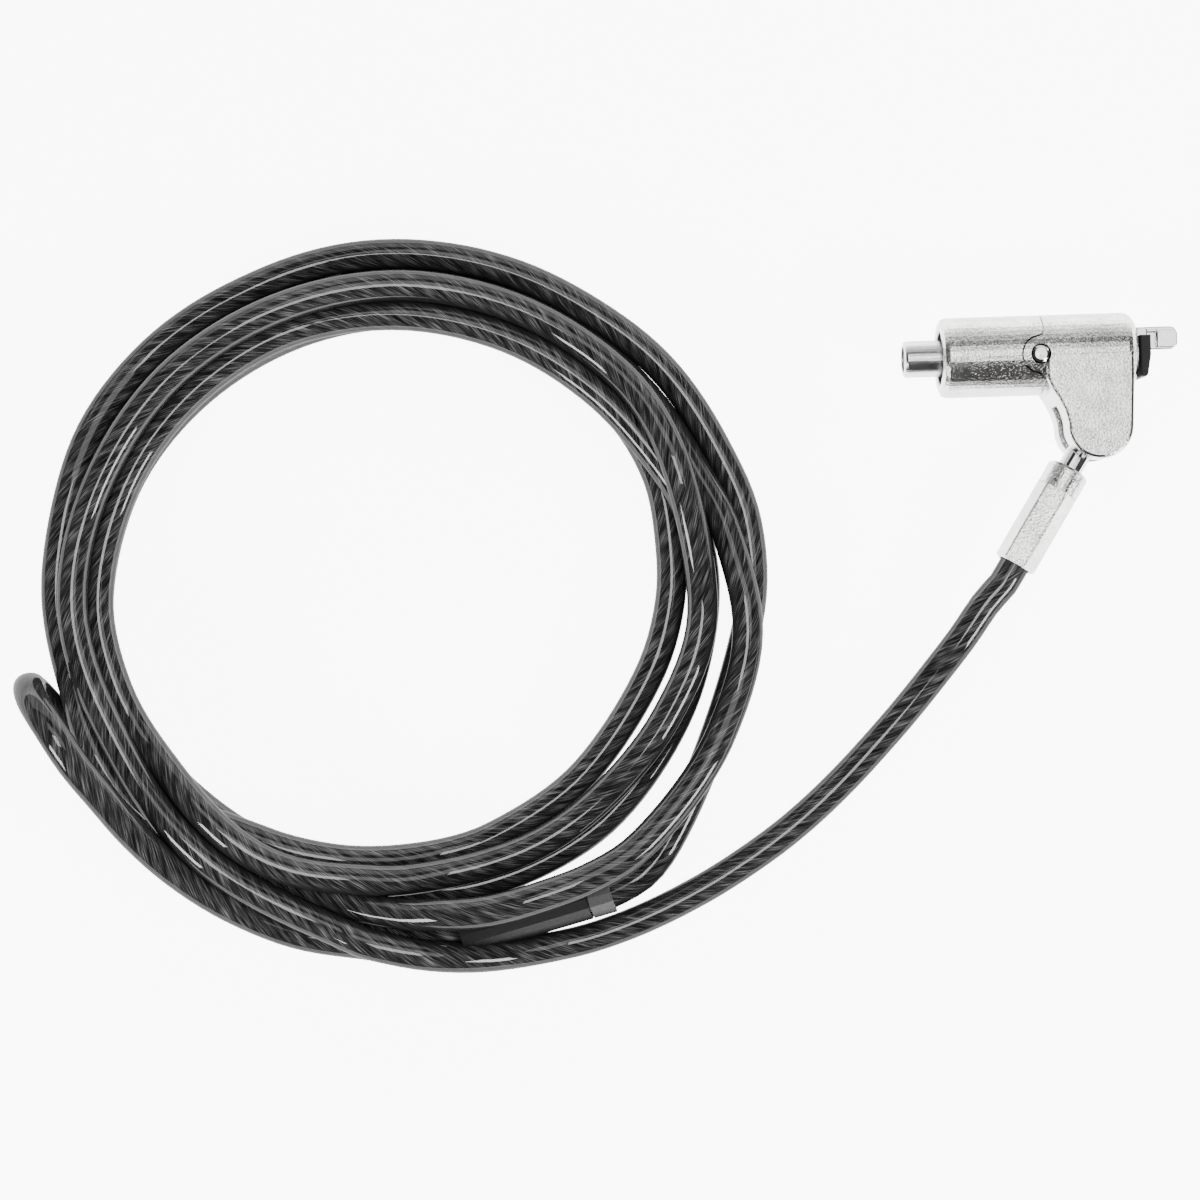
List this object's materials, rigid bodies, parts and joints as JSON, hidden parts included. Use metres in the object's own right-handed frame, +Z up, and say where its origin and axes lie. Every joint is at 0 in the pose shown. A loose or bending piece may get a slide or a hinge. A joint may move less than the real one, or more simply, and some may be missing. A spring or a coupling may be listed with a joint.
{
  "type": "laptop cable lock",
  "caption": "Keyed push-to-lock head with hook and rubber pad, swivelling on a ferrule at the end of a coiled steel cable with a crimped eye.",
  "frame": {"origin": "on the table, under the middle of the lock head's box (head, stem and ferrule, without the cable)", "axes": "+X along the barrel towards the hook, +Z up from the table that the lock lies on, +Y away from the flag"},
  "size_m": [0.2079, 0.1308, 0.0261],
  "materials": {
    "satin_nickel": "fine blasted satin nickel on zinc casting",
    "turned_steel": "fine turned steel",
    "chrome": "bright polished",
    "brass": "machined",
    "spring_steel": "drawn spring wire",
    "rubber": "matte moulded",
    "black_sleeve": "matte shrink tube",
    "grey_sleeve": "satin dark grey",
    "cable_vinyl": "smoky clear vinyl over galvanised wire rope",
    "aluminium": "swaged, plain"
  },
  "bodies": {
    "cable": {"ferrule": "satin_nickel", "swivel_washer": "brass", "cable_lead": "cable_vinyl", "cable_coil": "cable_vinyl", "cable_loop": "cable_vinyl", "crimp_core": "aluminium", "shrink_cover": "black_sleeve", "end_band": "grey_sleeve"},
    "stem": {"swivel_stem": "satin_nickel"},
    "head": {"rear_housing": "satin_nickel", "front_housing": "satin_nickel", "rivet_near": "chrome", "rivet_far": "chrome", "coupling_bush": "brass", "cylinder_sleeve": "turned_steel", "return_spring": "spring_steel", "hook_arm": "chrome", "rubber_pad": "rubber", "pivot_pin": "turned_steel"},
    "push_button": {"push_cylinder": "turned_steel", "push_spindle": "turned_steel", "locking_pin": "turned_steel"},
    "plug": {"key_plug": "brass"},
    "bolt": {"locking_bolt": "turned_steel"},
    "wafers": {"wafer_1": "brass", "wafer_2": "brass", "wafer_3": "brass", "wafer_4": "brass"}
  },
  "joints": [
    {"name": "ferrule_swivel", "type": "hinge", "parent": "cable", "child": "stem", "pos_m": [0.00925, 0.00275, 0.00715], "axis": [-0.5284, -0.849, 0], "continuous": true},
    {"name": "head_swing", "type": "hinge", "parent": "stem", "child": "head", "pos_m": [0.00925, 0.00275, 0.00715], "axis": [0, 0, 1], "range_deg": [-35, 58]},
    {"name": "push_to_lock", "type": "slide", "parent": "head", "child": "push_button", "axis": [1, 0, 0], "range_m": [0, 0.005], "stiffness_N_per_m": 300, "springref_m": -0.002, "deforming": ["return_spring"]},
    {"name": "key_turn", "type": "hinge", "parent": "push_button", "child": "plug", "pos_m": [-0.02, 0.01605, 0.00715], "axis": [1, 0, 0], "range_deg": [0, 90]},
    {"name": "bolt_retract", "type": "slide", "parent": "push_button", "child": "bolt", "axis": [0, -1, 0], "range_m": [0, 0.0009]},
    {"name": "wafer_lift", "type": "slide", "parent": "plug", "child": "wafers", "axis": [0, 0, 1], "range_m": [0, 0.0003], "stiffness_N_per_m": 10, "springref_m": -0.0003}
  ],
  "couplings": [
    {"joint": "key_turn", "follows": "bolt_retract", "rad_per_m": 1745.3}
  ]
}
